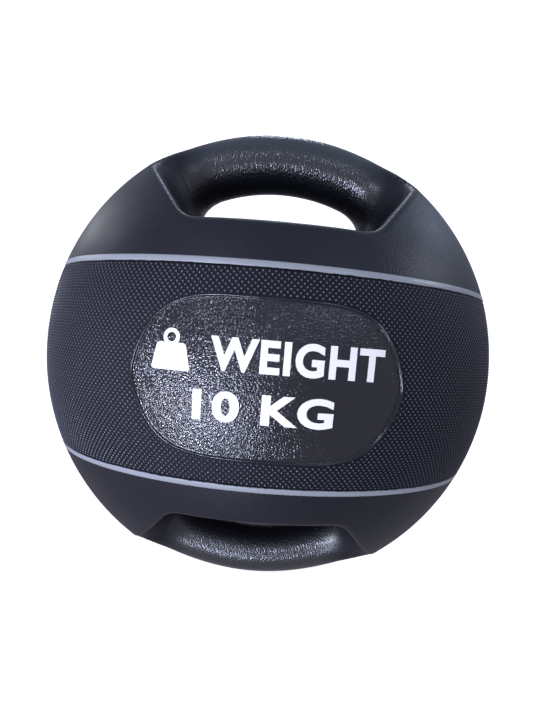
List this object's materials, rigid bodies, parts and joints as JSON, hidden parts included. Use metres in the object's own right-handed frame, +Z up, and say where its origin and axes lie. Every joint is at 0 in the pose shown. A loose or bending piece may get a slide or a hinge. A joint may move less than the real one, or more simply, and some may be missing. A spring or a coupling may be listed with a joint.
{
  "type": "medicine ball",
  "caption": "Round black rubber exercise ball with two hand slots through it, an arched grip bar over each, a textured belt and an oval badge.",
  "frame": {"origin": "centre of the ball", "axes": "+Z up through the middle of the upper grip, +X to the right as seen from the front, -Y out through the front badge; both hand slots run along Y"},
  "size_m": [0.279, 0.2774, 0.285],
  "materials": {
    "cap_rubber": "moulded, fine matt grain",
    "grip_rubber": "moulded, coarse leather-like grain, slightly glossy",
    "belt_rubber": "moulded with a lattice of small points",
    "stripe_rubber": "grey, smooth",
    "badge_rubber": "moulded, pebbled grain, slightly glossy",
    "plug_rubber": "smooth",
    "liner_rubber": "smooth, unseen",
    "filling": "loose granules and sand, unseen",
    "core_steel": "plain tube, unseen"
  },
  "bodies": {
    "root": {"upper_cap": "cap_rubber", "lower_cap": "cap_rubber", "upper_grip": "grip_rubber", "lower_grip": "grip_rubber", "upper_grip_core": "core_steel", "lower_grip_core": "core_steel", "front_belt": "belt_rubber", "rear_belt": "belt_rubber", "upper_stripe": "stripe_rubber", "lower_stripe": "stripe_rubber", "front_badge": "badge_rubber", "rear_badge": "badge_rubber", "liner": "liner_rubber", "weight_filling": "filling", "fill_plug": "plug_rubber"}
  },
  "joints": []
}
